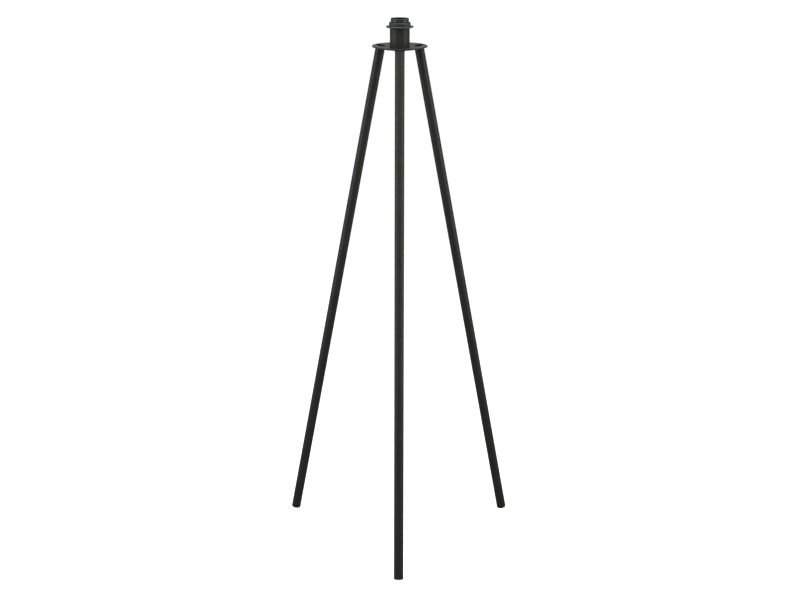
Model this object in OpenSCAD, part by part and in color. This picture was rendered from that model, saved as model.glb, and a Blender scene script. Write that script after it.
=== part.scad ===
/* [Stand] */
// Height of the head plate's rim above the floor
rim_h = 1070; // [700:5:1400]
// Lean of each leg from upright, in degrees
leg_tilt = 11.93; // [8:0.01:15]
// Outer diameter of the leg tube
tube_d = 20; // [15:0.5:24]
// Wall of the leg tube
tube_wall = 1; // [0.8:0.1:2]

/* [Head plate] */
// Diameter of the dished head plate
plate_d = 115; // [95:1:150]
// Thickness of the head plate
plate_t = 2.5; // [1.5:0.1:4]
// Rounding of the plate's rim
rim_round = 0.4; // [0.2:0.1:1.2]
// Plate left outside each leg
rim_land = 2.3; // [1:0.1:8]
// Plate left between each leg's hole and the bend to the flat floor
bend_land = 0.28; // [0.2:0.02:3]
// Gap round each leg in its hole
leg_hole_gap = 0.1; // [0.05:0.05:0.3]
// Leg length of the weld bead under the plate
weld_leg = 1.6; // [1:0.1:2.2]

/* [Feet] */
// Height of a foot cap's head, the part below the tube
cap_head_h = 3; // [2:0.1:6]
// Rounding of the head's lower edge
cap_round = 1.75; // [0.5:0.05:1.9]
// Height of the level pad cut in the head's lowest edge
cap_pad_h = 0.35; // [0.1:0.05:0.45]
// Length of the plug inside the tube
plug_h = 22; // [10:1:40]
// Wall of the plug
plug_wall = 1.6; // [1:0.1:3]
// Gap between the plug's barbs and the tube
plug_gap = 0.1; // [0.05:0.05:0.2]

/* [Lamp thread] */
// Major diameter of the lamp thread in the screw shell
thread_d = 26.7; // [22:0.1:33]
// Sheet thickness of the screw shell
shell_wall = 0.4; // [0.3:0.05:0.8]
// Height of the screw shell
shell_h = 22.5; // [18:0.5:30]
// Diameter of the hole in the shell's floor for the centre contact
shell_hole_d = 14; // [12:0.5:17]
// Step in from the thread to the narrow bottom of the shell
shell_step = 1; // [0.5:0.1:1.5]

/* [Lampholder] */
// Gap from the screw shell to the skirt
mouth_gap = 2.5; // [1.5:0.1:4]
// Wall of the plastic skirt
skirt_wall = 2.45; // [1.6:0.05:4]
// How far the lip stands out from the skirt
lip_out = 0.2; // [0.1:0.05:0.3]
// Height of the lip
lip_h = 1.6; // [0.8:0.1:3]
// Depth of the screw shell below the mouth
mouth_depth = 7; // [6:0.5:12]
// Wall of the skirt round its wide mouth
mouth_wall = 1.3; // [1.2:0.1:2]
// Depth of the wide mouth
mouth_bore_h = 4.3; // [2:0.1:4.5]
// Depth of the groove at the top of the skirt's thread
relief_depth = 0.9; // [0.3:0.1:0.9]
// Part of that groove left showing above the shade ring
relief_show = 1.6; // [0.5:0.1:1.8]
// Height of the contact block
block_h = 11; // [9:0.5:16]
// Height of the wiring space under the contact block
wiring_h = 9; // [6:0.5:15]
// Height of the base's threaded entry
entry_h = 6.8; // [5:0.1:10]
// Outer diameter of the base's threaded entry
entry_d = 16; // [14:0.5:20]
// Wall of the plastic base
base_wall = 2; // [1.5:0.1:3]
// Length of the spigot by which the base screws into the skirt
spigot_h = 6; // [4:0.5:8]

/* [Cover and shade ring] */
// Gap from the skirt to the metal cover
cover_gap = 0.8; // [0.4:0.1:2]
// Sheet thickness of the metal cover
cover_wall = 1; // [0.6:0.1:2]
// Thickness of the cover's floor
cover_floor = 1.2; // [0.8:0.1:2]
// Skirt left showing above the shade ring
neck_show = 7.8; // [7:0.1:12]
// Height of the shade ring
ring_h = 11; // [8:0.1:14]
// Running gap from the lip to the shade ring's bore
ring_gap = 0.35; // [0.3:0.05:0.6]
// Wall of the shade ring's collar
collar_wall = 2.6; // [1.8:0.1:4]
// How far the grip ribs stand out from the collar
rib_out = 0.45; // [0.2:0.05:0.8]
// Number of grip ribs
rib_count = 36; // [18:6:48]
// Width of the shade ring's flange beyond the collar
flange_w = 6.65; // [4:0.05:12]
// Thickness of the flange
flange_t = 3.2; // [2:0.1:4]

/* [Fixings] */
// Outer diameter of the hollow threaded nipple
nipple_d = 10; // [9:0.5:13]
// Bore of the hollow threaded nipple
nipple_bore = 8; // [6:0.5:8]
// Radial gap between a thread and the thread or hole round it
thread_gap = 0.1; // [0.05:0.05:0.2]
// Width of the nipple nut across its flats
nut_af = 14; // [14:0.5:17]
// Height of the nipple nut
nut_h = 4; // [3:0.5:6]
// Nipple left below the nut
nipple_tail = 3; // [2:0.5:6]
// Thickness of the flat washer on the cover's floor
washer_t = 1; // [0.6:0.1:2]
// Diameter of the flat washer
washer_d = 18; // [16:0.5:22]
// Thickness of the toothed lock washer
lock_t = 0.8; // [0.6:0.1:1.2]
// Number of teeth on the lock washer
lock_teeth = 12; // [8:1:16]
// Wall of the cable bush
bush_wall = 0.7; // [0.6:0.05:1.2]
// Height of the cable bush's rounded head
bush_head_h = 2; // [1.5:0.1:4]
// Length of the bush inside the nipple
bush_plug_h = 8; // [5:0.5:12]
// Diameter of the small screws' threads
screw_d = 3; // [2.5:0.1:3.5]

/* [Centre contact] */
// Height of the centre contact above the shell's floor
contact_rise = 3; // [2:0.1:5]
// Travel of the centre contact under a lamp
contact_travel = 1.5; // [1:0.1:2]
// Width of the contact strips
strip_w = 5; // [4:0.1:6]
// Thickness of the contact strips
strip_t = 0.6; // [0.4:0.1:1]
// Gap round the moving contact
contact_gap = 0.3; // [0.3:0.05:0.5]

/* [Hidden] */
$fn = 96;

// Directions of the legs round the stand's axis
FRONT = -90;
LEFT = 150;
RIGHT = 30;

COAT = [0.16, 0.16, 0.155];
PLASTIC = [0.20, 0.20, 0.205];
BRASS = [0.78, 0.62, 0.32];
NICKEL = [0.72, 0.71, 0.68];
STEEL = [0.62, 0.63, 0.65];
CREAM = [0.86, 0.84, 0.78];

// Places that other pieces seat on are whole hundredths of a millimetre
function hundredths(x) = round(100 * x) / 100;

// Head: a flat floor, then a cone that is square to the legs
tube_r = tube_d / 2;
plate_r = plate_d / 2;
leg_half = tube_r / cos(leg_tilt);
leg_circle_r = plate_r - rim_land - leg_half;
floor_r = leg_circle_r - leg_half - bend_land;
dish_depth = hundredths((plate_r - floor_r) * tan(leg_tilt));
floor_h = rim_h - dish_depth;

// Foot: the middle of the cap's end face, its radius and its height
edge_r = tube_r - cap_round;
foot_h = edge_r * sin(leg_tilt) + cap_round * (1 - cos(leg_tilt)) - cap_pad_h;
foot_r = leg_circle_r + (rim_h - foot_h) * tan(leg_tilt);
// The leg's top face lies in the cone, this far below the rim
top_drop = (plate_r - leg_circle_r) * sin(leg_tilt) * cos(leg_tilt);
leg_len = (rim_h - top_drop - foot_h) / cos(leg_tilt);

// How far a foot reaches in a direction, where c is the cosine of its angle to the leg
function reach(c) =
    (foot_r - cap_round * sin(leg_tilt)) * c
    + edge_r * sqrt(1 - pow(sin(leg_tilt) * c, 2)) + cap_round;
// The stand's axis is this far behind the middle of the overall box
axis_y = hundredths((reach(1) - reach(0.5)) / 2);

// Lampholder, from the lamp thread outwards
thread_r = thread_d / 2;
shell_r = thread_r + shell_wall;
mouth_r = shell_r + mouth_gap;
neck_r = mouth_r + skirt_wall;
lip_r = neck_r + lip_out;
cover_r = neck_r + cover_gap + cover_wall;
ring_bore_r = lip_r + ring_gap;
collar_r = ring_bore_r + collar_wall;
flange_r = collar_r + flange_w;
base_r = neck_r - 0.5;
spigot_r = mouth_r + skirt_wall / 2;
block_r = shell_r + 1.6;

// Lampholder, heights from the plate's floor upwards
entry_z = cover_floor + washer_t;
dome_z = entry_z + entry_h;
block_z = dome_z + base_wall + wiring_h;
shell_z = block_z + block_h;
mouth_z = shell_z + shell_h + mouth_depth;
ring_z = mouth_z - neck_show - ring_h;
skirt_z = shell_z - spigot_h;

nipple_r = nipple_d / 2;
bore_r = nipple_r + thread_gap;
screw_r = screw_d / 2;
nipple_low = -plate_t - lock_t - nut_h - nipple_tail;
nipple_top = dome_z - 1;
plug_wall_r = tube_r - tube_wall - plug_gap;

strip_half = strip_w / 2;
slot_half = strip_half + contact_gap;
contact_top = shell_z + shell_wall + contact_rise;
// The narrow bottom of the shell ends just above the centre contact
step_z = contact_top + 0.3;
thread_z = step_z + 0.5;
// Half length of the centre contact, how deep its feet stand in the block, and its slot's depth
contact_half = 8;
contact_sink = 1.6;
slot_depth = contact_sink + contact_travel + contact_gap;
// Shoulder of the skirt that holds the screw shell's edge down
shoulder_r = block_r - 0.8;
shoulder_z = shell_z + shell_wall + 0.6;

// Small fixings
rivet_r = 1;
rivet_depth = 4;
rivet_x = (shell_hole_d / 2 + thread_r - shell_step) / 2;
terminal_x = 9;
clamp_w = 5.2;
clamp_len = 7;
clamp_h = 5.5;
head_h = 1.8;
slot_w = 0.8;
// Size of the small chamfers, and the gap at a press fit
chamfer = 0.5;
press_gap = 0.05;

// Points of a rounded corner about a centre, from one angle to another
function arc(cx, cy, r, from, to, steps = 6) =
    [for (i = [0 : steps]) let (a = from + (to - from) * i / steps) [cx + r * cos(a), cy + r * sin(a)]];

module on_axis(z = 0) translate([0, axis_y, z]) children();
module on_floor() on_axis(floor_h) children();
// A leg's own frame: its end face's middle is the origin, and +Z runs up the leg
module along_leg(dir)
    on_axis() rotate([0, 0, dir]) translate([foot_r, 0, foot_h]) rotate([0, -leg_tilt, 0]) children();

module ring(outer, inner, z0, z1)
    translate([0, 0, z0]) difference() {
        cylinder(r = outer, h = z1 - z0);
        translate([0, 0, -1]) cylinder(r = inner, h = z1 - z0 + 2);
    }

module head_plate() {
    bend = plate_t * tan(leg_tilt / 2);
    corner = min(rim_round, plate_t / 2);
    // The rim's edge is square to the cone, so its lower corner reaches out furthest
    low_x = plate_r - corner;
    top_x = low_x - (plate_t - 2 * corner) * sin(leg_tilt);
    top_z = ((top_x - plate_r) * sin(leg_tilt) - corner) / cos(leg_tilt);
    low_z = top_z - (plate_t - 2 * corner) * cos(leg_tilt);
    color(COAT)
    difference() {
        on_axis(rim_h) rotate_extrude()
            polygon(concat(
                [[bore_r, -dish_depth - plate_t], [floor_r + bend, -dish_depth - plate_t]],
                arc(low_x, low_z, corner, leg_tilt - 90, leg_tilt),
                arc(top_x, top_z, corner, leg_tilt, leg_tilt + 90),
                [[floor_r, -dish_depth], [bore_r, -dish_depth]]
            ));
        for (dir = [FRONT, LEFT, RIGHT])
            along_leg(dir) translate([0, 0, leg_len - 4 * plate_t])
                cylinder(r = tube_r + leg_hole_gap, h = 8 * plate_t);
    }
}

module leg(dir)
    color(COAT)
    along_leg(dir) ring(tube_r, tube_r - tube_wall, cap_head_h, leg_len);

module leg_welds()
    color(COAT)
    for (dir = [FRONT, LEFT, RIGHT])
        along_leg(dir) translate([0, 0, leg_len - plate_t]) rotate_extrude()
            polygon([[tube_r, -weld_leg], [tube_r + weld_leg, 0], [tube_r, 0]]);

// A round-edged head with a barbed hollow plug above it; the head's lowest edge is cut level
module foot_cap(dir) {
    in_r = plug_wall_r - plug_wall;
    barb_out = 0.4;
    neck = plug_wall_r - barb_out;
    top = cap_head_h + plug_h;
    barb = plug_h / 5;
    color(PLASTIC)
    difference() {
        along_leg(dir) rotate_extrude()
            polygon(concat(
                [[0, 0]],
                arc(edge_r, cap_round, cap_round, -90, 0),
                [[tube_r, cap_head_h], [neck, cap_head_h]],
                [for (i = [1 : 3], k = [0 : 1])
                    k == 0 ? [neck, cap_head_h + i * barb] : [plug_wall_r, cap_head_h + i * barb + barb_out]],
                [[neck, cap_head_h + 4 * barb], [neck, top], [in_r, top], [in_r, cap_head_h], [0, cap_head_h]]
            ));
        on_axis() translate([0, 0, -50]) cube([4 * foot_r, 4 * foot_r, 100], center = true);
    }
}

module holder_cover() {
    color(COAT)
    on_floor() rotate_extrude()
        polygon(concat(
            [[bore_r, 0]],
            arc(cover_r - cover_wall, cover_wall, cover_wall, -90, 0),
            [[cover_r, ring_z], [cover_r - cover_wall, ring_z],
             [cover_r - cover_wall, cover_floor], [bore_r, cover_floor]]
        ));
}

module holder_base() {
    lock_hole_z = entry_z + entry_h / 2;
    color(PLASTIC)
    on_floor() difference() {
        rotate_extrude()
            polygon([
                [bore_r, entry_z], [entry_d / 2, entry_z], [entry_d / 2, dome_z - 1],
                [base_r - base_wall, dome_z - 1], [base_r, dome_z + base_wall - 1],
                [base_r, skirt_z], [spigot_r, skirt_z], [spigot_r, shell_z - 0.5],
                [block_r + thread_gap, shell_z - 0.5], [block_r + thread_gap, block_z],
                [block_r - 1.5, block_z], [block_r - 1.5, dome_z + base_wall],
                [bore_r, dome_z + base_wall]
            ]);
        translate([0, 0, lock_hole_z]) rotate([0, 90, 0]) cylinder(r = screw_r + thread_gap, h = entry_d);
    }
}

module holder_skirt() {
    wide_r = lip_r - mouth_wall;
    lip_round = 0.3;
    relief_low = ring_z + ring_h - 1;
    relief_top = ring_z + ring_h + relief_show;
    color(PLASTIC)
    on_floor() rotate_extrude()
        polygon([
            [spigot_r + thread_gap, skirt_z], [neck_r, skirt_z],
            [neck_r, relief_low - relief_depth], [neck_r - relief_depth, relief_low],
            [neck_r - relief_depth, relief_top], [neck_r, relief_top],
            [neck_r, mouth_z - lip_h - lip_out], [lip_r, mouth_z - lip_h],
            [lip_r, mouth_z - lip_round], [lip_r - lip_round, mouth_z],
            [wide_r + lip_round, mouth_z], [wide_r, mouth_z - lip_round],
            [wide_r, mouth_z - mouth_bore_h], [mouth_r, mouth_z - mouth_bore_h - (wide_r - mouth_r)],
            [mouth_r, shoulder_z], [shoulder_r, shoulder_z],
            [shoulder_r, shell_z], [spigot_r + thread_gap, shell_z]
        ]);
}

module shade_ring() {
    edge = flange_t / 2;
    rib_r = 2 * rib_out;
    // The ribs start inside the flange and stop below the collar's chamfer
    rib_low = ring_z + flange_t - chamfer;
    rib_top = ring_z + ring_h - 2 * chamfer;
    color(PLASTIC)
    on_floor() {
        difference() {
            union() {
                rotate_extrude()
                    polygon(concat(
                        [[ring_bore_r, ring_z]],
                        arc(flange_r - edge, ring_z + edge, edge, -90, 90, 10),
                        [[collar_r, ring_z + flange_t], [collar_r, ring_z + ring_h - chamfer],
                         [collar_r - chamfer, ring_z + ring_h], [ring_bore_r, ring_z + ring_h]]
                    ));
                for (i = [0 : rib_count - 1])
                    rotate([0, 0, (i + 0.5) * 360 / rib_count])
                        translate([collar_r + rib_out - rib_r, 0, rib_low])
                            cylinder(r = rib_r, h = rib_top - rib_low, $fn = 24);
            }
            translate([0, 0, ring_z - 1]) cylinder(r = ring_bore_r, h = ring_h + 2);
        }
    }
}

module screw_shell()
    color(NICKEL)
    on_floor() difference() {
        shell_cup();
        for (x = [-rivet_x, rivet_x])
            translate([x, 0, shell_z - 1]) cylinder(r = rivet_r + thread_gap, h = shell_wall + 2, $fn = 32);
    }

module shell_cup()
    rotate_extrude()
        polygon([
            [shell_hole_d / 2, shell_z], [shell_r - shell_step, shell_z],
            [shell_r - shell_step, step_z], [shell_r, thread_z], [shell_r, shell_z + shell_h],
            [thread_r, shell_z + shell_h], [thread_r, thread_z], [thread_r - shell_step, step_z],
            [thread_r - shell_step, shell_z + shell_wall], [shell_hole_d / 2, shell_z + shell_wall]
        ]);

module shell_rivets()
    color(BRASS)
    on_floor() for (x = [-rivet_x, rivet_x])
        translate([x, 0, 0]) {
            translate([0, 0, shell_z - rivet_depth])
                cylinder(r = rivet_r, h = rivet_depth + shell_wall, $fn = 32);
            translate([0, 0, shell_z + shell_wall])
                cylinder(r1 = rivet_r + 0.9, r2 = rivet_r + 0.3, h = 0.7, $fn = 32);
        }

module contact_block()
    color(CREAM)
    on_floor() difference() {
        translate([0, 0, block_z]) cylinder(r = block_r, h = block_h);
        // Slot that the centre contact sinks into
        translate([-slot_half, -contact_half - contact_gap - 0.2, shell_z - slot_depth])
            cube([2 * slot_half, 2 * contact_half + 2 * contact_gap + 0.4, slot_depth + 1]);
        // Holes for the rivets, and the recess for the side contact
        for (x = [-rivet_x, rivet_x])
            translate([x, 0, shell_z - rivet_depth - 0.2])
                cylinder(r = rivet_r + thread_gap, h = rivet_depth + 2, $fn = 32);
        translate([-strip_half - 0.1, -block_r - 1, shell_z - strip_t - 0.05])
            cube([strip_w + 0.2, block_r - contact_half - 0.6, strip_t + 1]);
        for (x = [-terminal_x, terminal_x])
            translate([x - clamp_w / 2 - 0.1, -clamp_len / 2 - 0.1, block_z - 1])
                cube([clamp_w + 0.2, clamp_len + 0.2, clamp_h + 1.1]);
    }

// A leaf bent over a flat top, with both feet free to sink in the block's slot
module centre_contact() {
    low = shell_z - contact_sink;
    top = contact_top;
    foot_len = 1.6;
    top_half = 2.4;
    bend_in = 0.3;
    color(BRASS)
    on_floor() translate([-strip_half, 0, 0]) rotate([90, 0, 90]) linear_extrude(strip_w)
        polygon([
            [-contact_half, low], [foot_len - contact_half, low], [-top_half, top - strip_t],
            [top_half, top - strip_t], [contact_half - foot_len, low], [contact_half, low],
            [contact_half, low + strip_t], [contact_half - foot_len + bend_in, low + strip_t],
            [top_half + bend_in, top], [-top_half - bend_in, top],
            [foot_len - contact_half - bend_in, low + strip_t], [-contact_half, low + strip_t]
        ]);
}

module side_contact()
    color(BRASS)
    on_floor() translate([-strip_half, -block_r + 0.2, shell_z - strip_t])
        cube([strip_w, block_r - contact_half - 2, strip_t]);

module terminal_clamps()
    color(BRASS)
    on_floor() for (x = [-terminal_x, terminal_x])
        translate([x, 0, block_z]) difference() {
            translate([-clamp_w / 2, -clamp_len / 2, 0]) cube([clamp_w, clamp_len, clamp_h]);
            translate([0, 0, -1]) cylinder(r = screw_r + thread_gap, h = clamp_h + 2, $fn = 32);
        }

module terminal_screws()
    color(STEEL)
    on_floor() for (x = [-terminal_x, terminal_x])
        translate([x, 0, 0]) difference() {
            union() {
                translate([0, 0, block_z - head_h]) cylinder(r = screw_r + 0.9, h = head_h, $fn = 48);
                translate([0, 0, block_z - 0.1]) cylinder(r = screw_r, h = clamp_h - 0.1, $fn = 32);
            }
            translate([-slot_w / 2, -screw_d, block_z - head_h - 1])
                cube([slot_w, 2 * screw_d, 1 + head_h / 2]);
        }

module base_lock_screw()
    color(STEEL)
    on_floor() translate([bore_r + press_gap, 0, entry_z + entry_h / 2]) rotate([0, 90, 0]) difference() {
        cylinder(r = screw_r, h = entry_d / 2 - bore_r + 0.3, $fn = 48);
        translate([-slot_w / 2, -screw_d, entry_d / 2 - bore_r - 0.6]) cube([slot_w, 2 * screw_d, 2]);
    }

module threaded_nipple()
    color(STEEL)
    on_floor() rotate_extrude()
        polygon([
            [nipple_bore / 2, nipple_low], [nipple_r - chamfer, nipple_low], [nipple_r, nipple_low + chamfer],
            [nipple_r, nipple_top - chamfer], [nipple_r - chamfer, nipple_top], [nipple_bore / 2, nipple_top]
        ]);

module nipple_nut() {
    top = -plate_t - lock_t;
    corner = nut_af / 2 / cos(30);
    // The nut's corners are turned off over this height, down to just inside the flats
    turned_h = 0.8;
    low_r = nut_af / 2 - 0.2;
    high_r = corner + 0.1;
    color(STEEL)
    on_floor() translate([0, 0, top - nut_h]) difference() {
        intersection() {
            cylinder(r = corner, h = nut_h, $fn = 6);
            union() {
                cylinder(r1 = low_r, r2 = high_r, h = turned_h);
                translate([0, 0, turned_h]) cylinder(r = high_r, h = nut_h - 2 * turned_h);
                translate([0, 0, nut_h - turned_h]) cylinder(r1 = high_r, r2 = low_r, h = turned_h);
            }
        }
        translate([0, 0, -1]) cylinder(r = bore_r, h = nut_h + 2);
    }
}

// Teeth are what the notches leave of the disc's edge
module lock_washer() {
    outer = nut_af / 2 + 1.4;
    notch_w = 1.6;
    notch_depth = 1.5;
    color(STEEL)
    on_floor() difference() {
        ring(outer, bore_r, -plate_t - lock_t, -plate_t);
        for (i = [0 : lock_teeth - 1])
            rotate([0, 0, i * 360 / lock_teeth])
                translate([outer - notch_depth, -notch_w / 2, -plate_t - lock_t - 1])
                    cube([2 * notch_depth, notch_w, lock_t + 2]);
    }
}

module cover_washer()
    color(STEEL)
    on_floor() ring(washer_d / 2, bore_r, cover_floor, cover_floor + washer_t);

module cable_bush() {
    plug_r = nipple_bore / 2 - press_gap;
    cord_r = plug_r - bush_wall;
    head_r = nipple_r + 0.4;
    round_r = bush_head_h / 2;
    color(PLASTIC)
    on_floor() translate([0, 0, nipple_low]) rotate_extrude()
        polygon(concat(
            [[cord_r, 0]],
            arc(head_r - round_r, round_r - bush_head_h, round_r, -90, 0),
            [[head_r, 0], [plug_r, 0], [plug_r, bush_plug_h], [cord_r, bush_plug_h]]
        ));
}

head_plate();
leg(FRONT);  // leg_front
leg(LEFT);  // leg_left
leg(RIGHT);  // leg_right
leg_welds();
foot_cap(FRONT);  // foot_cap_front
foot_cap(LEFT);  // foot_cap_left
foot_cap(RIGHT);  // foot_cap_right
holder_cover();
holder_base();
holder_skirt();
shade_ring();
screw_shell();
shell_rivets();
contact_block();
centre_contact();
side_contact();
terminal_clamps();
terminal_screws();
base_lock_screw();
threaded_nipple();
nipple_nut();
lock_washer();
cover_washer();
cable_bush();
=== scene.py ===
import math

import bpy
from mathutils import Matrix, Vector


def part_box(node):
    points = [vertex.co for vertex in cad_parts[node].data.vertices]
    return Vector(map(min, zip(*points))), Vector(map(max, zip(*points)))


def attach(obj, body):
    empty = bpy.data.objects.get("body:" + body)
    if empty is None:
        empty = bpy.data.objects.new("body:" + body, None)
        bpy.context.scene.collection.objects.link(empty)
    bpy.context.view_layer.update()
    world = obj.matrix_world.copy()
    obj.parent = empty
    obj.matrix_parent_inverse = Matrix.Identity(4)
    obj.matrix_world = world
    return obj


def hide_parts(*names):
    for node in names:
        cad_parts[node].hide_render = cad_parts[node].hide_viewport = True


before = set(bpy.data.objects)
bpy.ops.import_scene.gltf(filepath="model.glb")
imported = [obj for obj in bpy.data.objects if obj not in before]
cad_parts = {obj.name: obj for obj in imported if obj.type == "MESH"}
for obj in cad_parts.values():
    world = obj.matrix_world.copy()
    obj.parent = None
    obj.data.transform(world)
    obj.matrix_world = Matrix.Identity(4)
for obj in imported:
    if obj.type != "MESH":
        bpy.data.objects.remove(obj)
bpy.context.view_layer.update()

MM = 0.001
UM = 0.000001
TURN = 2 * math.pi

# Sizes that the CAD part's boxes don't give, in millimetres, and the legs' lean in radians.
# The cap's dimple, the weld's sink and the ring's groove are this script's own.
TILT = math.radians(11.93)
TUBE_WALL = 1.0
PLATE_T = 2.5
DISH = 4.86
DISH_FLOOR_R = 34.48
RIM_ROUND = 0.4
LEG_HOLE_GAP = 0.1
CAP_HEAD = 3.0
CAP_ROUND = 1.75
CAP_DIMPLE = 0.35
CAP_DIMPLE_R = 2.2
CAP_DIMPLE_EDGE_R = 2.9
PLUG_R = 8.9
PLUG_WALL = 1.6
PLUG_H = 22.0
BARB = 0.4
BARBS = 3
WELD_LEG = 1.6
WELD_SINK = 0.4
COVER_WALL = 1.0
COVER_FLOOR = 1.2
BORE_R = 5.1
NECK_R = 18.7
MOUTH_R = 16.25
MOUTH_WALL = 1.3
MOUTH_BORE_H = 4.3
LIP_H = 1.6
LIP_OUT = 0.2
RELIEF_DEPTH = 0.9
RELIEF_SHOW = 1.6
RELIEF_HIDDEN = 1
SPIGOT_R = 17.575
SHOULDER_R = 14.55
SHELL_Z = 31.0
SHOULDER_Z = 32.0
RING_BORE_R = 19.25
COLLAR_R = 21.85
RIB_OUT = 0.45
RIBS = 36
GROOVE_DEPTH = 0.7
GROOVE_H = 1.3
FLANGE_T = 3.2
FLANGE_ROUND = 1.58
SHELL_WALL = 0.4
SHELL_STEP = 1.0
SHELL_HOLE_R = 7.0
SHELL_STEP_Z = 34.7
SHELL_THREAD_Z = 35.2
NIPPLE_BORE_R = 4.0
BUSH_BORE_R = 3.25
BUSH_PLUG_R = 3.95

# Threads: pitches, depths and where they start, in millimetres
LAMP_PITCH = 3.63
LAMP_THREAD_DEPTH = 1.0
SKIRT_PITCH = 2.5
SKIRT_THREAD_DEPTH = 0.65
SKIRT_THREAD_CREST = 0.1
SKIRT_THREAD_LOW = 27
NIPPLE_PITCH = 1.0
NIPPLE_THREAD_DEPTH = 0.52

# Two radii this close in a profile are the same wall
SAME_WALL = 0.05
# Edges sharper than this stay sharp in a turned piece, or are eased where it was cut
SHARP_EDGE = math.radians(50)
# Edges of the CAD nodes sharper than this are eased
CAD_EDGE = math.radians(40)


def span(node):
    """A CAD node's box as (lowest corner, highest corner) in millimetres."""
    low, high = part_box(node)
    return low / MM, high / MM


# Where the stand's axis and the plate's floor are, and how far out each foot is
AXIS_Y = (span("holder_skirt")[0].y + span("holder_skirt")[1].y) / 2
FLOOR_Z = span("holder_cover")[0].z
TUBE_R = (span("leg_front")[1].x - span("leg_front")[0].x) / 2
LEG_LOW, LEG_HIGH = span("leg_front")
FOOT_H = LEG_LOW.z - CAP_HEAD * math.cos(TILT) + TUBE_R * math.sin(TILT)
FOOT_R = AXIS_Y - LEG_LOW.y + CAP_HEAD * math.sin(TILT) - TUBE_R * math.cos(TILT)
LEG_LEN = (LEG_HIGH.z - TUBE_R * math.sin(TILT) - FOOT_H) / math.cos(TILT)
LEG_TURNS = {"front": math.radians(-90), "left": math.radians(150), "right": math.radians(30)}
HEAD = Matrix.Translation((0, AXIS_Y, FLOOR_Z))


def leg_frame(side):
    """A leg's own frame in millimetres: +Z runs up the tube from the middle of the cap's end face."""
    return (
        Matrix.Translation((0, AXIS_Y, 0))
        @ Matrix.Rotation(LEG_TURNS[side], 4, "Z")
        @ Matrix.Translation((FOOT_R, 0, FOOT_H))
        @ Matrix.Rotation(-TILT, 4, "Y")
    )


# Materials


def surface(
    name, colour, drift, size, rough, rough_swing, grain, metallic=0.0, specular=0.5, sheen=None, wear=None
):
    """A procedural finish. colour drifts to drift over patches of about size mm, and roughness swings about
    rough. grain is the relief, as (feature size in mm, height in micrometres). sheen tints the gloss. wear is
    (colour, lowest z, highest z) in mm: rubbed marks that fade out upwards."""
    mat = bpy.data.materials.new(name)
    mat.use_nodes = True
    nodes, links = mat.node_tree.nodes, mat.node_tree.links
    shader = nodes["Principled BSDF"]
    shader.inputs["Metallic"].default_value = metallic
    shader.inputs["Specular IOR Level"].default_value = specular
    if sheen:
        shader.inputs["Specular Tint"].default_value = (*sheen, 1)
    place = nodes.new("ShaderNodeTexCoord").outputs["Object"]

    def noise(feature, detail, distortion=0.0):
        node = nodes.new("ShaderNodeTexNoise")
        links.new(place, node.inputs["Vector"])
        node.inputs["Scale"].default_value = 1 / (feature * MM)
        node.inputs["Detail"].default_value = detail
        node.inputs["Distortion"].default_value = distortion
        return node.outputs["Fac"]

    def spread(value, low, high, to_low, to_high):
        node = nodes.new("ShaderNodeMapRange")
        links.new(value, node.inputs["Value"])
        for key, number in (("From Min", low), ("From Max", high), ("To Min", to_low), ("To Max", to_high)):
            node.inputs[key].default_value = number
        return node.outputs["Result"]

    def blend(amount, first, second):
        node = nodes.new("ShaderNodeMix")
        node.data_type = "RGBA"
        links.new(amount, node.inputs["Factor"])
        for key, value in (("A", first), ("B", second)):
            socket = next(s for s in node.inputs if s.name == key and s.type == "RGBA")
            if isinstance(value, tuple):
                socket.default_value = (*value, 1)
            else:
                links.new(value, socket)
        return next(s for s in node.outputs if s.type == "RGBA")

    tint = blend(spread(noise(size, 4), 0.35, 0.65, 0, 1), colour, drift)
    if wear:
        rubbed, low, high = wear
        split = nodes.new("ShaderNodeSeparateXYZ")
        links.new(place, split.inputs[0])
        low_down = spread(split.outputs["Z"], low * MM, high * MM, 1, 0)
        mark_size, detail, twist = 2.2, 6, 0.6
        marks = spread(noise(mark_size, detail, twist), 0.5, 0.72, 0, 1)
        both = nodes.new("ShaderNodeMath")
        both.operation = "MULTIPLY"
        links.new(low_down, both.inputs[0])
        links.new(marks, both.inputs[1])
        tint = blend(both.outputs[0], tint, rubbed)
    links.new(tint, shader.inputs["Base Color"])
    shine = spread(noise(size / 3, 5), 0.3, 0.7, rough - rough_swing, rough + rough_swing)
    links.new(shine, shader.inputs["Roughness"])
    normal = None
    for feature, height in grain:
        bump = nodes.new("ShaderNodeBump")
        bump.inputs["Distance"].default_value = height * UM
        links.new(noise(feature, 2), bump.inputs["Height"])
        if normal:
            links.new(normal, bump.inputs["Normal"])
        normal = bump.outputs["Normal"]
    links.new(normal, shader.inputs["Normal"])
    return mat


# Colours are linear RGB
COAT = surface(
    "black_coat", (0.0105, 0.0105, 0.0082), (0.015, 0.0148, 0.0122), 35, 0.5, 0.04, [(1.3, 90), (0.4, 16)],
    specular=0.3, sheen=(1, 0.99, 0.88),
)
COVER_COAT = surface(
    "cover_coat", (0.0105, 0.0108, 0.0096), (0.0148, 0.0150, 0.0138), 25, 0.52, 0.04, [(1.1, 70), (0.35, 14)],
    specular=0.3, sheen=(1, 1, 0.94),
)
CAP = surface(
    "cap_plastic", (0.0105, 0.0105, 0.010), (0.016, 0.016, 0.0152), 9, 0.55, 0.06, [(0.6, 30), (0.18, 8)],
    specular=0.35, wear=((0.05, 0.048, 0.044), 0, 3.5),
)
PLASTIC = surface(
    "holder_plastic", (0.0125, 0.0138, 0.014), (0.0165, 0.0178, 0.018), 14, 0.42, 0.05, [(0.8, 26), (0.2, 6)],
    specular=0.38, sheen=(0.97, 1, 1),
)
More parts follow.
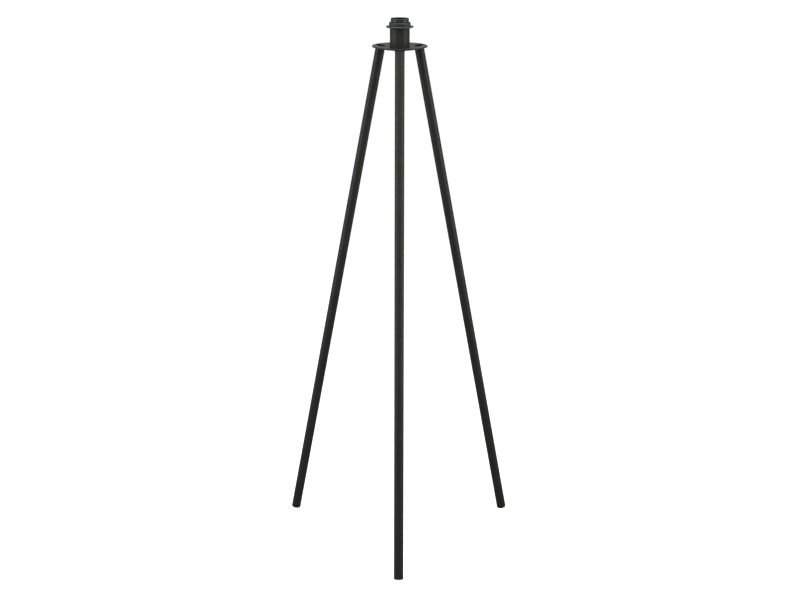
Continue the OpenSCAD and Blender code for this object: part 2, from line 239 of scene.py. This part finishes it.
# Painted shade: a darker, duller copy of the holder plastic for the faces inside the mouth, darkened to stand
# in for the shade there
INNER_PAINTED_SHADE = surface(
    "holder_inner_painted_shade", (0.005, 0.0052, 0.0053), (0.0075, 0.0078, 0.0079), 10, 0.68, 0.04, [(0.6, 30), (0.2, 8)],
    specular=0.18,
)
NICKEL = surface(
    "nickel_shell", (0.46, 0.44, 0.4), (0.54, 0.52, 0.47), 8, 0.27, 0.06, [(0.7, 5), (0.12, 1.2)],
    metallic=1.0,
)
BRASS = surface(
    "contact_brass", (0.62, 0.43, 0.16), (0.72, 0.53, 0.24), 5, 0.28, 0.07, [(0.5, 4), (0.1, 1.2)],
    metallic=1.0,
)
CREAM = surface(
    "block_plastic", (0.66, 0.62, 0.53), (0.72, 0.69, 0.6), 7, 0.45, 0.06, [(0.6, 8), (0.15, 3)],
)
ZINC = surface(
    "zinc_steel", (0.5, 0.52, 0.55), (0.62, 0.63, 0.64), 4, 0.34, 0.08, [(0.5, 5), (0.1, 1.5)],
    metallic=1.0,
)
WELD = surface(
    "weld_coat", (0.0105, 0.0105, 0.0084), (0.0155, 0.0150, 0.0125), 12, 0.47, 0.05, [(0.9, 60), (0.3, 14)],
    specular=0.3, sheen=(1, 0.99, 0.88),
)


# Mesh code. Profiles are closed loops of (radius, height) in millimetres, counterclockwise.


def rounded(corners, steps=4):
    """The profile through corners, with each corner (radius, height, fillet) turned into an arc."""
    out = []
    for k, (r, z, fillet) in enumerate(corners):
        here = Vector((r, z))
        before = Vector(corners[k - 1][:2]) - here
        after = Vector(corners[(k + 1) % len(corners)][:2]) - here
        if fillet <= 0:
            out.append((r, z))
            continue
        u, v = before.normalized(), after.normalized()
        half = math.acos(max(-1, min(1, u.dot(v)))) / 2
        cut = min(fillet / math.tan(half), 0.49 * before.length, 0.49 * after.length)
        centre = here + (u + v).normalized() * (cut / math.cos(half))
        start, end = here + u * cut - centre, here + v * cut - centre
        a0, a1 = math.atan2(start.y, start.x), math.atan2(end.y, end.x)
        sweep = (a1 - a0 + math.pi) % TURN - math.pi
        for s in range(steps + 1):
            a = a0 + sweep * s / steps
            out.append((centre.x + start.length * math.cos(a), centre.y + start.length * math.sin(a)))
    return out


def rows_between(profile, low, high, step, inside):
    """The profile with its upright runs between low and high cut into rows step apart, where inside(radius)
    holds."""
    out = []
    for k, (r, z) in enumerate(profile):
        out.append((r, z))
        r2, z2 = profile[(k + 1) % len(profile)]
        if abs(r2 - r) > 0.3 or abs(z2 - z) < 4 * step or not inside(r):
            continue
        count = int(abs(z2 - z) / step)
        for s in range(1, count):
            zz = z + (z2 - z) * s / count
            if low <= zz <= high:
                out.append((r + (r2 - r) * s / count, zz))
    return out


def lathe(profile, count, place, shape=None):
    """Vertices and faces of the profile turned about place's Z. shape(r, z, angle) gives the final radius."""
    verts, rows, faces = [], [], []
    for r, z in profile:
        if r < 1e-6:
            verts.append(place @ Vector((0, 0, z)))
            rows.append([len(verts) - 1] * count)
            continue
        rows.append([len(verts) + i for i in range(count)])
        for i in range(count):
            a = TURN * i / count
            radius = shape(r, z, a) if shape else r
            verts.append(place @ Vector((radius * math.cos(a), radius * math.sin(a), z)))
    for one, two in zip(rows, rows[1:] + rows[:1]):
        for i in range(count):
            j = (i + 1) % count
            face = list(dict.fromkeys((one[i], one[j], two[j], two[i])))
            if len(face) > 2:
                faces.append(face)
    return verts, faces


def add(name, made, material, nodes, body="stand"):
    """A finished piece from (vertices, faces) in millimetres. It rides on body and stands for CAD nodes."""
    verts, faces = made
    mesh = bpy.data.meshes.new(name)
    mesh.from_pydata([tuple(v * MM for v in p) for p in verts], [], faces)
    mesh.update()
    mesh.shade_smooth()
    mesh.set_sharp_from_angle(angle=SHARP_EDGE)
    mesh.materials.append(material)
    obj = bpy.data.objects.new(name, mesh)
    bpy.context.scene.collection.objects.link(obj)
    even = obj.modifiers.new("even_normals", "WEIGHTED_NORMAL")
    even.keep_sharp = True
    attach(obj, body)
    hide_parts(*nodes)
    return obj


def smooth_step(x):
    x = max(0.0, min(1.0, x))
    return x * x * (3 - 2 * x)


def fade(z, low, high, run):
    """1 between low and high, falling to 0 over run mm at each end."""
    return smooth_step((z - low) / run) * smooth_step((high - z) / run)


def v_thread(z, angle, pitch, flat):
    """0 at a thread's crest and 1 at its root, with sloped flanks between. The crest takes the part flat of
    the pitch, and so does the root."""
    phase = (z / pitch - angle / TURN) % 1.0
    away = abs(phase - 0.5) * 2
    return smooth_step((away - flat) / (1 - 2 * flat))


# Legs, caps and welds

for side in LEG_TURNS:
    place = leg_frame(side)
    inner = TUBE_R - TUBE_WALL
    tube = rounded(
        [(inner, CAP_HEAD, 0.12), (TUBE_R, CAP_HEAD, 0.3), (TUBE_R, LEG_LEN, 0.25), (inner, LEG_LEN, 0.25)], 3
    )
    add("tube_" + side, lathe(tube, 96, place), COAT, ["leg_" + side])

    neck = PLUG_R - BARB
    step = PLUG_H / (BARBS + 2)
    plug_in = PLUG_R - PLUG_WALL
    corners = [
        (0, CAP_DIMPLE, 0), (CAP_DIMPLE_R, CAP_DIMPLE, 0.5), (CAP_DIMPLE_EDGE_R, 0, 0.6),
        (TUBE_R, 0, CAP_ROUND), (TUBE_R, CAP_HEAD, 0.3), (neck, CAP_HEAD, 0),
    ]
    for k in range(1, BARBS + 1):
        corners += [(neck, CAP_HEAD + k * step, 0), (PLUG_R, CAP_HEAD + k * step + BARB, 0.1)]
    corners += [(neck, CAP_HEAD + (BARBS + 1) * step, 0), (neck, CAP_HEAD + PLUG_H, 0.3)]
    corners += [(plug_in, CAP_HEAD + PLUG_H, 0.3), (plug_in, CAP_HEAD, 0.5), (0, CAP_HEAD, 0)]
    verts, faces = lathe(rounded(corners, 10), 128, place)
    # The lowest edge is pressed level, for the pad that the foot stands on
    verts = [Vector((v.x, v.y, max(v.z, 0.0))) for v in verts]
    add("cap_" + side, (verts, faces), CAP, ["foot_cap_" + side])


def weld_bead(place, count=216, ripples=34, across=7):
    """A rippled fillet bead in a leg's frame, against the tube and the plate's underside."""
    top = LEG_LEN - PLATE_T
    ring = across + 2
    # The least size and the ripple's height, as parts of the leg length
    least, height = 0.84, 0.15
    # The section lies between a straight fillet and a quarter circle
    straight, curved = 0.7, 0.3
    verts, faces = [], []
    for i in range(count):
        ripple = (i * ripples / count) % 1.0
        size = WELD_LEG * (least + height * math.sin(math.pi * ripple) ** 0.6)
        turned = place @ Matrix.Rotation(TURN * i / count, 4, "Z")
        for k in range(across):
            w = k / (across - 1)
            out = straight * w + curved * math.sin(w * math.pi / 2)
            down = straight * (1 - w) + curved * math.cos(w * math.pi / 2)
            verts.append(turned @ Vector((TUBE_R + size * out, 0, top - size * down)))
        verts.append(turned @ Vector((TUBE_R + size, 0, top + WELD_SINK)))
        verts.append(turned @ Vector((TUBE_R, 0, top + WELD_SINK)))
        j = (i + 1) % count
        for k in range(ring):
            m = (k + 1) % ring
            faces.append((i * ring + k, j * ring + k, j * ring + m, i * ring + m))
    return verts, faces


welds = ([], [])
for side in LEG_TURNS:
    verts, faces = weld_bead(leg_frame(side))
    start = len(welds[0])
    welds[0].extend(verts)
    welds[1].extend([tuple(v + start for v in f) for f in faces])
add("weld_beads", welds, WELD, ["leg_welds"])


# Head plate: a dish turned in one piece, with the legs' holes cut square to its cone


def carved(made, cutters):
    """The solid made, less the solids in cutters."""
    def solid(verts, faces):
        mesh = bpy.data.meshes.new("solid")
        mesh.from_pydata([tuple(v) for v in verts], [], faces)
        obj = bpy.data.objects.new("solid", mesh)
        bpy.context.scene.collection.objects.link(obj)
        return obj

    target, tools = solid(*made), [solid(*c) for c in cutters]
    for tool in tools:
        cut = target.modifiers.new("cut", "BOOLEAN")
        cut.operation, cut.solver, cut.object = "DIFFERENCE", "EXACT", tool
    mesh = target.evaluated_get(bpy.context.evaluated_depsgraph_get()).to_mesh()
    out = [v.co.copy() for v in mesh.vertices], [tuple(f.vertices) for f in mesh.polygons]
    for obj in [target, *tools]:
        bpy.data.objects.remove(obj)
    return out


plate_low, plate_high = span("head_plate")
plate_r = (plate_high.x - plate_low.x) / 2
along, up = Vector((math.cos(TILT), math.sin(TILT))), Vector((-math.sin(TILT), math.cos(TILT)))
low_centre_r = plate_r - RIM_ROUND
top_centre_r = low_centre_r - (PLATE_T - 2 * RIM_ROUND) * math.sin(TILT)
top_centre_z = DISH + ((top_centre_r - plate_r) * math.sin(TILT) - RIM_ROUND) / math.cos(TILT)
top_centre = Vector((top_centre_r, top_centre_z))
low_centre = top_centre - up * (PLATE_T - 2 * RIM_ROUND)
rim_top, rim_low = top_centre + (along + up) * RIM_ROUND, low_centre + (along - up) * RIM_ROUND
bend = PLATE_T * math.tan(TILT / 2)
plate = rounded(
    [
        (BORE_R, -PLATE_T, 0.3), (DISH_FLOOR_R + bend, -PLATE_T, 7), (*rim_low, RIM_ROUND),
        (*rim_top, RIM_ROUND), (DISH_FLOOR_R, 0, 4.5), (BORE_R, 0, 0.3),
    ],
    5,
)
hole_r = TUBE_R + LEG_HOLE_GAP
through = 10
hole_z = (LEG_LEN - through, LEG_LEN + through)
hole = [(0, hole_z[0]), (hole_r, hole_z[0]), (hole_r, hole_z[1]), (0, hole_z[1])]
dish = carved(lathe(plate, 240, HEAD), [lathe(hole, 128, leg_frame(side)) for side in LEG_TURNS])
dish = add("plate_dish", dish, COAT, ["head_plate"])
ease = dish.modifiers.new("ease", "BEVEL")
ease.width, ease.segments, ease.limit_method, ease.angle_limit = 0.2 * MM, 2, "ANGLE", SHARP_EDGE
# The bevel comes before the weighted normals
dish.modifiers.move(1, 0)


# Lampholder outside: cover, skirt and shade ring

cover_low, cover_high = span("holder_cover")
cover_r = (cover_high.x - cover_low.x) / 2
cover_top = cover_high.z - FLOOR_Z
cover = rounded(
    [
        (BORE_R, 0, 0.15), (cover_r, 0, COVER_WALL), (cover_r, cover_top, 0.3),
        (cover_r - COVER_WALL, cover_top, 0.3), (cover_r - COVER_WALL, COVER_FLOOR, 0.4),
        (BORE_R, COVER_FLOOR, 0.15),
    ],
    8,
)
add("cover_cup", lathe(cover, 160, HEAD), COVER_COAT, ["holder_cover"])

skirt_low, skirt_high = span("holder_skirt")
lip_r = (skirt_high.x - skirt_low.x) / 2
ring_low, ring_high = span("shade_ring")
ring_foot, ring_top = ring_low.z - FLOOR_Z, ring_high.z - FLOOR_Z
skirt_foot, mouth = skirt_low.z - FLOOR_Z, skirt_high.z - FLOOR_Z
lip_low = mouth - LIP_H
wide_r = lip_r - MOUTH_WALL
bore_end = mouth - MOUTH_BORE_H
relief_low, relief_top = ring_top - RELIEF_HIDDEN, ring_top + RELIEF_SHOW
thread_top = relief_low - RELIEF_DEPTH
skirt = rounded(
    [
        (SPIGOT_R, skirt_foot, 0.15), (NECK_R, skirt_foot, 0.25), (NECK_R, thread_top, 0.1),
        (NECK_R - RELIEF_DEPTH, relief_low, 0.2), (NECK_R - RELIEF_DEPTH, relief_top, 0.2),
        (NECK_R, relief_top, 0.2), (NECK_R, lip_low - LIP_OUT, 0), (lip_r, lip_low, 0), (lip_r, mouth, 0.3),
        (wide_r, mouth, 0.35), (wide_r, bore_end, 0.3), (MOUTH_R, bore_end - (wide_r - MOUTH_R), 0.3),
        (MOUTH_R, SHOULDER_Z, 0.3), (SHOULDER_R, SHOULDER_Z, 0.2), (SHOULDER_R, SHELL_Z, 0.1),
        (SPIGOT_R, SHELL_Z, 0.2),
    ],
    5,
)
skirt = rows_between(skirt, skirt_foot, thread_top, SKIRT_PITCH / 12, lambda r: abs(r - NECK_R) < SAME_WALL)


def skirt_shape(r, z, a):
    """The skirt's outer wall carries the coarse thread that the shade ring runs on."""
    if abs(r - NECK_R) > SAME_WALL or z > thread_top:
        return r
    threaded = fade(z, SKIRT_THREAD_LOW, thread_top - 0.2, 1)
    return NECK_R + threaded * (SKIRT_THREAD_CREST - SKIRT_THREAD_DEPTH * v_thread(z, a, SKIRT_PITCH, 0.15))


threaded_skirt = lathe(skirt, 144, HEAD, skirt_shape)
skirt_obj = add("skirt_body", threaded_skirt, PLASTIC, ["holder_skirt"])
# The faces inside the mouth get a duller finish and a darker colour; the darker colour is painted shade for
# the shaded inside of the socket
skirt_obj.data.materials.append(INNER_PAINTED_SHADE)
for face in skirt_obj.data.polygons:
    if math.hypot(face.center.x, face.center.y - AXIS_Y * MM) < (wide_r + 0.12) * MM:
        face.material_index = 1

flange_r = (ring_high.x - ring_low.x) / 2
collar_low = ring_foot + FLANGE_T
groove_top = collar_low + GROOVE_H
groove_r = COLLAR_R - GROOVE_DEPTH
ring = rounded(
    [
        (RING_BORE_R, ring_foot, 0.35), (flange_r, ring_foot, FLANGE_ROUND),
        (flange_r, collar_low, FLANGE_ROUND), (groove_r, collar_low, 0.5), (groove_r, groove_top, 0.3),
        (COLLAR_R, groove_top, 0.25), (COLLAR_R, ring_top, 0.55), (RING_BORE_R, ring_top, 0.4),
    ],
    8,
)
ring = rows_between(ring, groove_top, ring_top, 0.35, lambda r: abs(r - COLLAR_R) < SAME_WALL)


def ring_shape(r, z, a):
    """Rounded grip ribs round the collar, which fade out at its groove and just under its top edge."""
    if abs(r - COLLAR_R) > 0.02 or z < groove_top:
        return r
    wave = 0.5 + 0.5 * math.cos(a * RIBS)
    return r + RIB_OUT * 0.98 * fade(z, groove_top, ring_top - 0.5, 0.9) * smooth_step(wave * 1.3 - 0.15)


ribbed = lathe(ring, RIBS * 10, HEAD, ring_shape)
add("ring_body", ribbed, PLASTIC, ["shade_ring"], body="shade_ring")


# Lampholder inside: shell, contact and block

shell_low, shell_high = span("screw_shell")
shell_out = (shell_high.x - shell_low.x) / 2
shell_top = shell_high.z - FLOOR_Z
narrow = shell_out - SHELL_STEP
shell_in = shell_out - SHELL_WALL
shell = rounded(
    [
        (SHELL_HOLE_R, SHELL_Z, 0.1), (narrow, SHELL_Z, 0.6), (narrow, SHELL_STEP_Z, 0.3),
        (shell_out, SHELL_THREAD_Z, 0.3), (shell_out, shell_top, 0.15), (shell_in, shell_top, 0.15),
        (shell_in, SHELL_THREAD_Z, 0.3), (narrow - SHELL_WALL, SHELL_STEP_Z, 0.3),
        (narrow - SHELL_WALL, SHELL_Z + SHELL_WALL, 0.3), (SHELL_HOLE_R, SHELL_Z + SHELL_WALL, 0.1),
    ],
    4,
)
shell = rows_between(shell, SHELL_THREAD_Z, shell_top, LAMP_PITCH / 14, lambda r: r > shell_in - SAME_WALL)


def shell_shape(r, z, a):
    """The sheet is rolled into the rounded lamp thread, which runs out at both ends."""
    if r < shell_in - SAME_WALL or z < SHELL_THREAD_Z:
        return r
    wave = 0.5 - 0.5 * math.cos(TURN * (z / LAMP_PITCH - a / TURN))
    return r - LAMP_THREAD_DEPTH * wave * fade(z, SHELL_THREAD_Z, shell_top - 0.3, 1.6)


add("shell_thread", lathe(shell, 144, HEAD, shell_shape), NICKEL, ["screw_shell"])


def leaf():
    """The centre contact: a strip of thickness t bent over a flat top, with a pressed dome in the middle."""
    low, high = span("centre_contact")
    half_w, half_l = (high.x - low.x) / 2, (high.y - low.y) / 2
    foot, top = low.z - FLOOR_Z, high.z - FLOOR_Z
    t = 0.6
    # The length of each foot, half the flat top's length, and how far a bend's arc reaches along the strip
    tail = 1.45
    flat_top = 2.55
    bend_reach = 0.6
    # The dome falls away between dome_end - 1 and dome_end of its radius, and stays on the upper part
    dome_h, dome_r = 0.12, 1.1
    dome_end, upper_part = 1.4, 0.8
    spacing, across = 0.35, 17
    line = [(-half_l, foot + t / 2), (-half_l + tail, foot + t / 2), (-flat_top, top - t / 2 - dome_h)]
    line += [(-y, z) for y, z in reversed(line)]
    # Each bend of the middle line becomes a short arc
    path = []
    for k, (y, z) in enumerate(line):
        if k in (0, len(line) - 1):
            path.append(Vector((y, z)))
            continue
        here, before, after = Vector((y, z)), Vector(line[k - 1]), Vector(line[k + 1])
        p = here + (before - here).normalized() * bend_reach
        q = here + (after - here).normalized() * bend_reach
        for s in range(7):
            w = s / 6
            path.append((1 - w) ** 2 * p + 2 * w * (1 - w) * here + w * w * q)
    filled = []
    for p, q in zip(path, path[1:]):
        count = max(1, int((q - p).length / spacing))
        filled += [p.lerp(q, s / count) for s in range(count)]
    filled.append(path[-1])
    verts, faces = [], []
    for k, p in enumerate(filled):
        tangent = (filled[min(k + 1, len(filled) - 1)] - filled[max(k - 1, 0)]).normalized()
        normal = Vector((-tangent.y, tangent.x))
        on_top = p.y > top - upper_part
        for half in (0.5, -0.5):
            for i in range(across):
                x = -half_w + 2 * half_w * i / (across - 1)
                dome = dome_h * smooth_step(dome_end - math.hypot(x, p.x) / dome_r) if on_top else 0
                at = p + normal * t * half
                verts.append(HEAD @ Vector((x, at.x, at.y + dome)))
    row = 2 * across
    for k in range(len(filled) - 1):
        a, b = k * row, (k + 1) * row
        for i in range(across - 1):
            faces.append((a + i, a + i + 1, b + i + 1, b + i))
            faces.append((b + across + i, b + across + i + 1, a + across + i + 1, a + across + i))
        faces.append((a, b, b + across, a + across))
        faces.append((a + across - 1, a + 2 * across - 1, b + 2 * across - 1, b + across - 1))
    last = (len(filled) - 1) * row
    for i in range(across - 1):
        faces.append((i + across, i + across + 1, i + 1, i))
        faces.append((last + i, last + i + 1, last + across + i + 1, last + across + i))
    return verts, faces


add("contact_leaf", leaf(), BRASS, ["centre_contact"], body="centre_contact")


# Fixings

nipple_low, nipple_high = span("threaded_nipple")
nipple_r = (nipple_high.x - nipple_low.x) / 2
nipple_foot, nipple_top = nipple_low.z - FLOOR_Z, nipple_high.z - FLOOR_Z
nipple = rounded(
    [
        (NIPPLE_BORE_R, nipple_foot, 0.1), (nipple_r, nipple_foot, 0.4), (nipple_r, nipple_top, 0.4),
        (NIPPLE_BORE_R, nipple_top, 0.1),
    ],
    3,
)
nipple = rows_between(nipple, nipple_foot, nipple_top, NIPPLE_PITCH / 8, lambda r: r > nipple_r - SAME_WALL)


def nipple_shape(r, z, a):
    """The outside carries a fine thread from end to end."""
    if r < nipple_r - SAME_WALL:
        return r
    threaded = fade(z, nipple_foot + 0.2, nipple_top - 0.2, 0.5)
    return r - NIPPLE_THREAD_DEPTH * v_thread(z, a, NIPPLE_PITCH, 0.1) * threaded


add("nipple_thread", lathe(nipple, 96, HEAD, nipple_shape), ZINC, ["threaded_nipple"])

bush_low, bush_high = span("cable_bush")
head_r = (bush_high.x - bush_low.x) / 2
bush_foot, bush_top = bush_low.z - FLOOR_Z, bush_high.z - FLOOR_Z
bush = rounded(
    [
        (BUSH_BORE_R, bush_foot, 0.7), (head_r, bush_foot, 1.0), (head_r, nipple_foot, 0.15),
        (BUSH_PLUG_R, nipple_foot, 0), (BUSH_PLUG_R, bush_top, 0.3), (BUSH_BORE_R, bush_top, 0.3),
    ],
    6,
)
add("bush_body", lathe(bush, 96, HEAD), CAP, ["cable_bush"])

# CAD nodes that stay as they are: each one's material, and how far its sharp edges are eased, in mm
EASED = {
    "holder_base": (PLASTIC, 0.2), "contact_block": (CREAM, 0.2),
    "shell_rivets": (BRASS, 0.1), "side_contact": (BRASS, 0.08), "terminal_clamps": (BRASS, 0.25),
    "terminal_screws": (ZINC, 0.12), "base_lock_screw": (ZINC, 0.12), "nipple_nut": (ZINC, 0.15),
    "lock_washer": (ZINC, 0.08), "cover_washer": (ZINC, 0.12),
}
for node, (material, edge) in EASED.items():
    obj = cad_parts[node]
    obj.data.materials.clear()
    obj.data.materials.append(material)
    join = obj.modifiers.new("join", "WELD")
    join.merge_threshold = 2 * UM
    ease = obj.modifiers.new("ease", "BEVEL")
    ease.width = edge * MM
    ease.segments = 3
    ease.limit_method = "ANGLE"
    ease.angle_limit = CAD_EDGE
    ease.harden_normals = True


# Floor, lights and camera, in metres

FLOOR_REACH = 30
FLOOR_GLOW = 0.86
DOME_R = 45
WORLD_GLOW = 0.318
LENS_MM = 81.63
EYE = (-0.0004, -3.667, 1.5396)
LOOKS_DOWN = 15.177
ROLL = 0.1275

floor_mat = bpy.data.materials.new("studio_floor")
floor_mat.use_nodes = True
floor_shader = floor_mat.node_tree.nodes["Principled BSDF"]
floor_shader.inputs["Base Color"].default_value = (0.5, 0.5, 0.5, 1)
floor_shader.inputs["Roughness"].default_value = 0.9
floor_shader.inputs["Specular IOR Level"].default_value = 0.1
floor_shader.inputs["Emission Color"].default_value = (1, 1, 1, 1)
floor_shader.inputs["Emission Strength"].default_value = FLOOR_GLOW
floor_mesh = bpy.data.meshes.new("studio_floor")
floor_corners = [(x * FLOOR_REACH, y * FLOOR_REACH, 0) for x, y in ((-1, -1), (1, -1), (1, 1), (-1, 1))]
floor_mesh.from_pydata(floor_corners, [], [(0, 1, 2, 3)])
floor_mesh.materials.append(floor_mat)

# A white dome behind the floor's edge, which only the camera sees
dome_mat = bpy.data.materials.new("studio_dome")
dome_mat.use_nodes = True
dome_shader = dome_mat.node_tree.nodes["Principled BSDF"]
dome_shader.inputs["Base Color"].default_value = (0, 0, 0, 1)
dome_shader.inputs["Specular IOR Level"].default_value = 0
dome_shader.inputs["Emission Color"].default_value = (1, 1, 1, 1)
dome_shader.inputs["Emission Strength"].default_value = 1.0
dome_angles = [math.radians(d) for d in range(-90, 91, 10)]
dome_profile = [(max(DOME_R * math.cos(a), 0.0), DOME_R * math.sin(a)) for a in dome_angles]
dome_verts, dome_faces = lathe(dome_profile, 48, Matrix())
dome_mesh = bpy.data.meshes.new("studio_dome")
dome_mesh.from_pydata([tuple(v) for v in dome_verts], [], dome_faces)
dome_mesh.materials.append(dome_mat)

# Neither one shows in the gloss or lights the object, so the lights and the world alone set its tones. The
# dome casts no shadow, so the world's light comes through it.
for mesh in (floor_mesh, dome_mesh):
    obj = bpy.data.objects.new(mesh.name, mesh)
    bpy.context.scene.collection.objects.link(obj)
    obj.visible_glossy = obj.visible_diffuse = False
    obj.visible_shadow = mesh is floor_mesh

world = bpy.data.worlds.new("studio")
world.use_nodes = True
world.node_tree.nodes["Background"].inputs["Color"].default_value = (1, 1, 1, 1)
world.node_tree.nodes["Background"].inputs["Strength"].default_value = WORLD_GLOW
bpy.context.scene.world = world
bpy.context.scene.view_settings.view_transform = "Standard"


def softbox(name, place, target, width, height, power):
    """An area light at place that faces target, in metres and watts."""
    light = bpy.data.lights.new(name, "AREA")
    light.shape = "RECTANGLE"
    light.size, light.size_y = width, height
    light.energy = power
    obj = bpy.data.objects.new(name, light)
    obj.location = place
    obj.rotation_euler = (Vector(target) - Vector(place)).to_track_quat("-Z", "Y").to_euler()
    bpy.context.scene.collection.objects.link(obj)


AXIS = AXIS_Y * MM
for side, x in (("left", -1.35), ("right", 1.35)):
    softbox("soft_high_" + side, (x, AXIS - 0.45, 1.45), (0, AXIS, 1.0), 0.55, 1.3, 5.1)
    softbox("soft_low_" + side, (x, AXIS - 0.45, 0.7), (0, AXIS, 0.7), 0.55, 1.0, 7.1)
softbox("soft_front", (0, AXIS - 1.5, 2.6), (0, AXIS, 0.9), 1.8, 1.2, 31)
softbox("soft_top", (0, AXIS, 2.4), (0, AXIS, 0), 1.6, 1.6, 50)
softbox("soft_back", (0, AXIS + 2.0, 2.1), (0, AXIS, 1.05), 2.6, 1.0, 3.4)

camera = bpy.data.cameras.new("camera")
camera.sensor_width = 36
camera.lens = LENS_MM
camera.clip_start, camera.clip_end = 0.05, 200
eye = bpy.data.objects.new("camera", camera)
eye.matrix_world = (
    Matrix.Translation(EYE)
    @ Matrix.Rotation(math.radians(90 - LOOKS_DOWN), 4, "X")
    @ Matrix.Rotation(math.radians(ROLL), 4, "Z")
)
bpy.context.scene.collection.objects.link(eye)
bpy.context.scene.camera = eye

bpy.context.view_layer.update()
